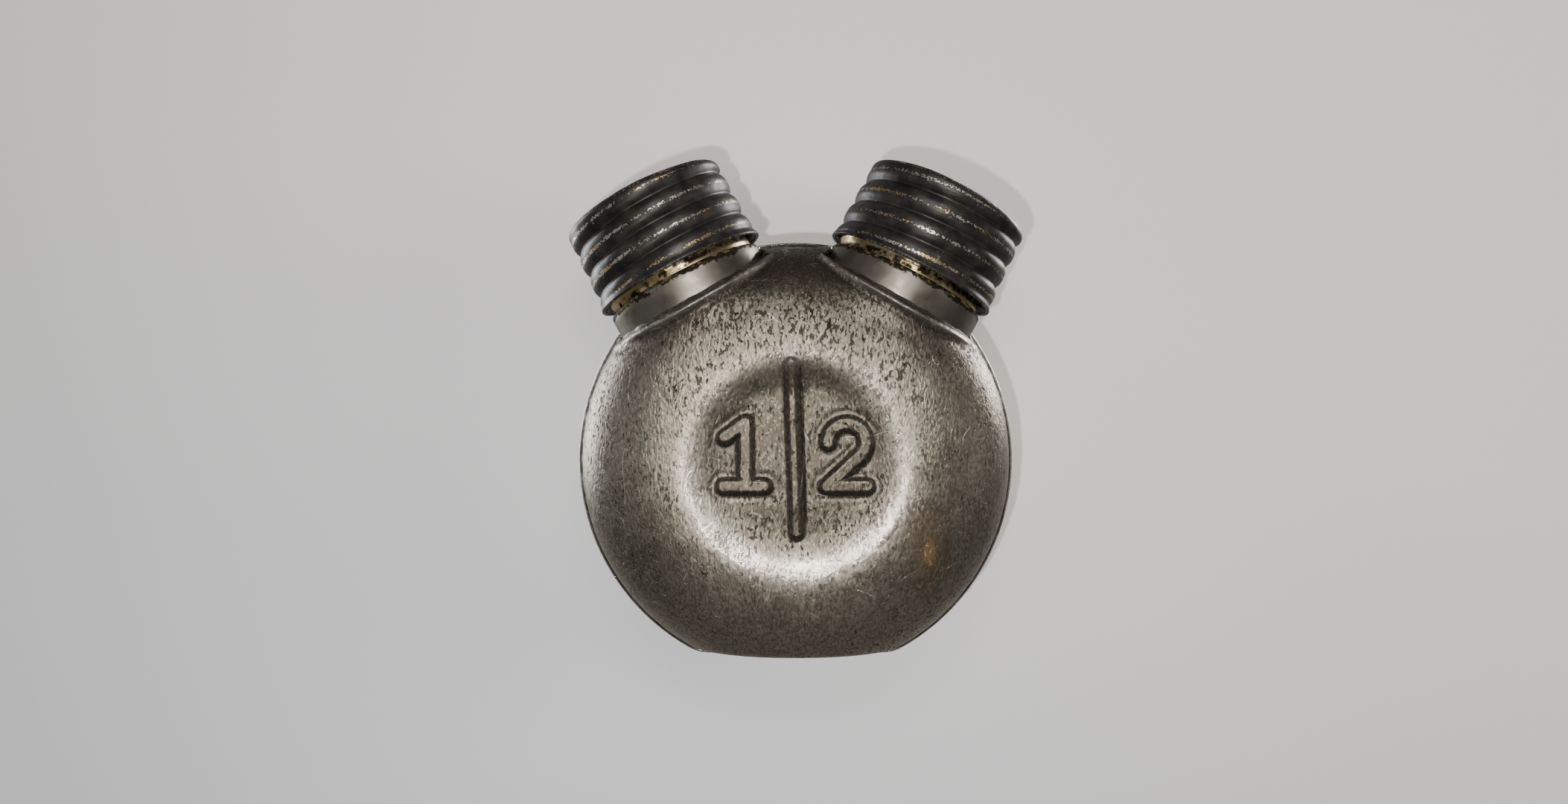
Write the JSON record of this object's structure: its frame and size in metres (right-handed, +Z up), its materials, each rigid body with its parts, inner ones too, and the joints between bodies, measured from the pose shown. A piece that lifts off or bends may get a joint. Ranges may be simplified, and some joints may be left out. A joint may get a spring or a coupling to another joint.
{
  "type": "twin-spout oil bottle",
  "caption": "Round flat sheet-metal oil bottle with an inner dividing wall and slanted threaded spouts, each closed by a ribbed screw cap on a gasket.",
  "frame": {"origin": "centre of the bounding box at the base flat the bottle stands on", "axes": "+Z up, through the top of the round body between the spouts; -Y out of the numbered front face; +X to the right when looking at the front"},
  "size_m": [0.0626, 0.025, 0.068],
  "materials": {
    "tinned_sheet": "dull tinned steel sheet with fine dark pits and scratches",
    "bright_tin": "smooth satin tinned steel",
    "solder": "dull grey soft solder with dark flux dirt",
    "neck_brass": "worn brass with dark oily dirt in the thread",
    "cap_black": "worn black over brass and tin, rubbed bright along the ribs",
    "gasket_leather": "oil-soaked leather disc"
  },
  "bodies": {
    "bottle": {"front_shell": "tinned_sheet", "rear_shell": "tinned_sheet", "divider_wall": "tinned_sheet", "seam_solder": "solder", "seam_solder_top": "solder", "left_collar": "bright_tin", "right_collar": "bright_tin", "left_collar_solder": "solder", "right_collar_solder": "solder", "left_threaded_neck": "neck_brass", "right_threaded_neck": "neck_brass"},
    "left_gasket": {"left_cap_gasket": "gasket_leather"},
    "left_cap": {"left_cap": "cap_black"},
    "right_gasket": {"right_cap_gasket": "gasket_leather"},
    "right_cap": {"right_cap": "cap_black"}
  },
  "joints": [
    {"name": "left_cap_lift", "type": "slide", "parent": "bottle", "child": "left_gasket", "axis": [-0.4617, 0, 0.887], "range_m": [0, 0.01281]},
    {"name": "left_cap_spin", "type": "hinge", "parent": "left_gasket", "child": "left_cap", "pos_m": [-0.0159, 0, 0.0524], "axis": [-0.4617, 0, 0.887], "range_deg": [0, 1440]},
    {"name": "right_cap_lift", "type": "slide", "parent": "bottle", "child": "right_gasket", "axis": [0.4617, 0, 0.887], "range_m": [0, 0.01281]},
    {"name": "right_cap_spin", "type": "hinge", "parent": "right_gasket", "child": "right_cap", "pos_m": [0.0159, 0, 0.0524], "axis": [0.4617, 0, 0.887], "range_deg": [0, 1440]}
  ],
  "couplings": [
    {"joint": "left_cap_lift", "follows": "left_cap_spin", "m_per_rad": 0.0005093},
    {"joint": "right_cap_lift", "follows": "right_cap_spin", "m_per_rad": 0.0005093}
  ]
}
